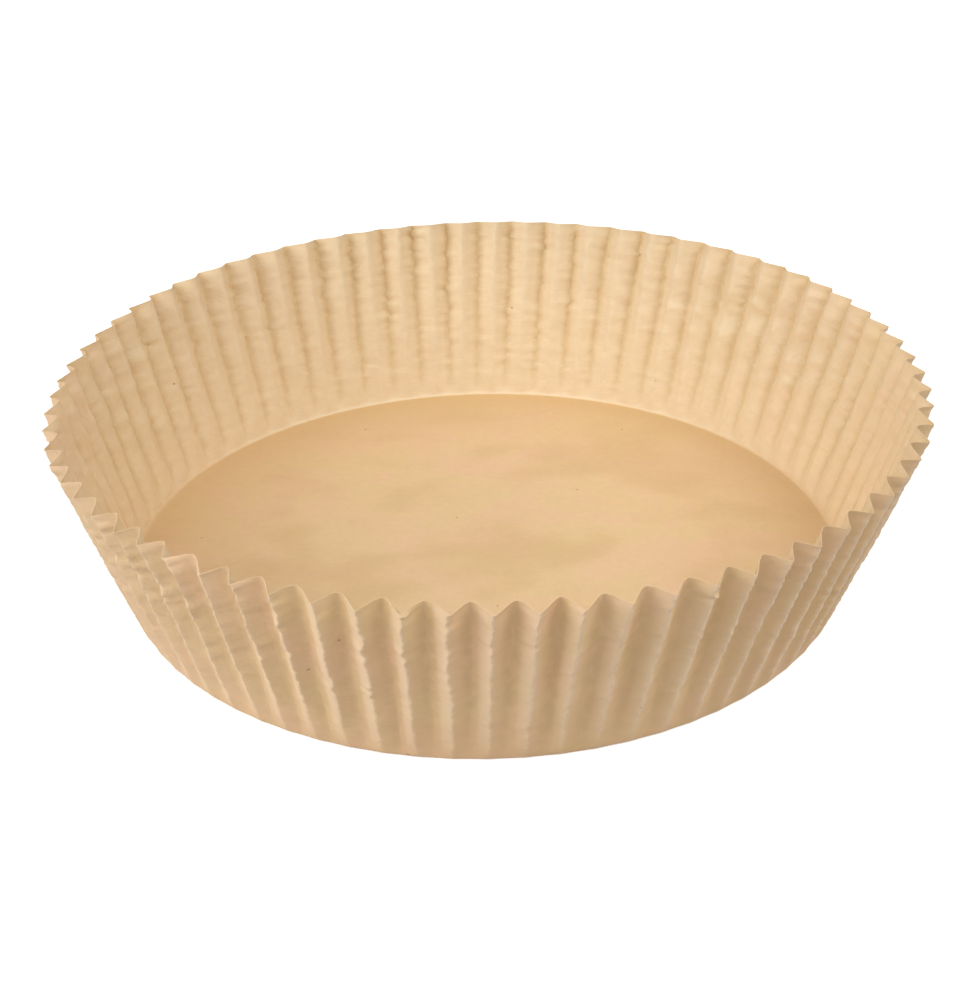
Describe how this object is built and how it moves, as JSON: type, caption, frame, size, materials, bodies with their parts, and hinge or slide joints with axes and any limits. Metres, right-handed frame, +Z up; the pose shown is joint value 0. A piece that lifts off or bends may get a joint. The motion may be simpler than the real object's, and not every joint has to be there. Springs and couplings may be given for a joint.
{
  "type": "air fryer liner",
  "caption": "Round shallow paper liner with a flat floor and a flared wall pressed into fine zigzag pleats, for the basket of an air fryer.",
  "frame": {"origin": "centre of the floor's underside, on the surface that the liner stands on", "axes": "+Z up, along the axis of the dish, from the floor to the open rim; +X and +Y through outer folds of the pleats"},
  "size_m": [0.2, 0.2, 0.0456],
  "materials": {
    "paper": "unbleached greaseproof paper, dry and matt, slightly translucent"
  },
  "bodies": {
    "root": {"liner": "paper"}
  },
  "joints": []
}
